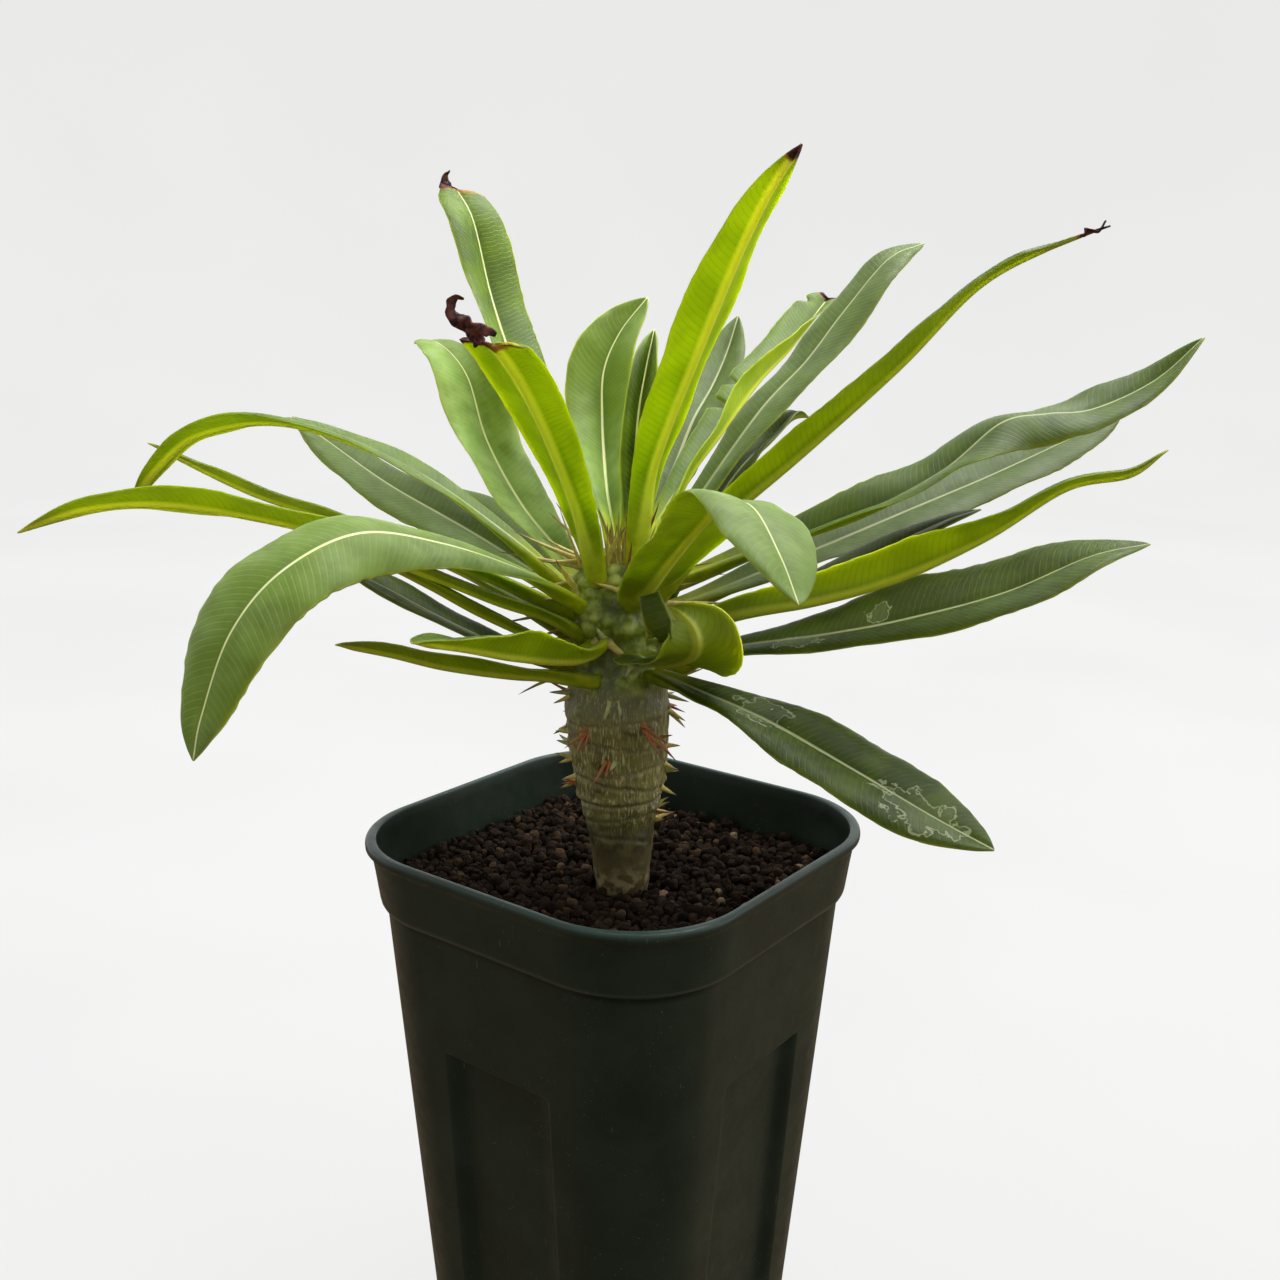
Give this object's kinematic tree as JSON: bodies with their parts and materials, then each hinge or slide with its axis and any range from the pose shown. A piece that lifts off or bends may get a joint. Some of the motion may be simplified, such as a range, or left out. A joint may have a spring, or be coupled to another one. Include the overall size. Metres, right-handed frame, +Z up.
{
  "type": "potted pachypodium menabeum",
  "caption": "Small spiny caudex succulent with a crown of long waved leaves, standing in a tall square nursery pot of granular soil.",
  "frame": {"origin": "centre of the underside of the pot's base, on the surface that the pot stands on", "axes": "+Z up, along the trunk; X and Y square to the pot's four sides; the picture looks at the corner between the pot's +X and -Y sides"},
  "size_m": [0.2018, 0.2062, 0.2612],
  "materials": {
    "pot": "dark green moulded plastic with a satin sheen, a little dusty",
    "soil": "dry brown and black mineral granules of 1 to 3 mm with a few tan ones",
    "trunk": "grey-brown bark with pale flecks and ring scars, green crown, tan to orange-brown spines",
    "leaf": "waxy grey-green upper side with a cream midrib, brighter yellow-green underside with a raised rib"
  },
  "bodies": {
    "root": {"pot": "pot", "soil": "soil", "trunk": "trunk", "leaf_A": "leaf", "leaf_B": "leaf", "leaf_C": "leaf", "leaf_D": "leaf", "leaf_E": "leaf", "leaf_F": "leaf", "leaf_G": "leaf", "leaf_H": "leaf", "leaf_I": "leaf", "leaf_J": "leaf", "leaf_K": "leaf", "leaf_L": "leaf", "leaf_M": "leaf", "leaf_N": "leaf", "leaf_N2": "leaf", "leaf_O": "leaf", "leaf_P": "leaf", "leaf_Q": "leaf", "leaf_R": "leaf", "leaf_S": "leaf", "leaf_T": "leaf", "leaf_U": "leaf", "leaf_U2": "leaf", "leaf_V": "leaf", "leaf_W": "leaf", "leaf_X": "leaf", "leaf_Y": "leaf", "leaf_Z1": "leaf", "leaf_Z2": "leaf", "leaf_AA": "leaf"}
  },
  "joints": []
}
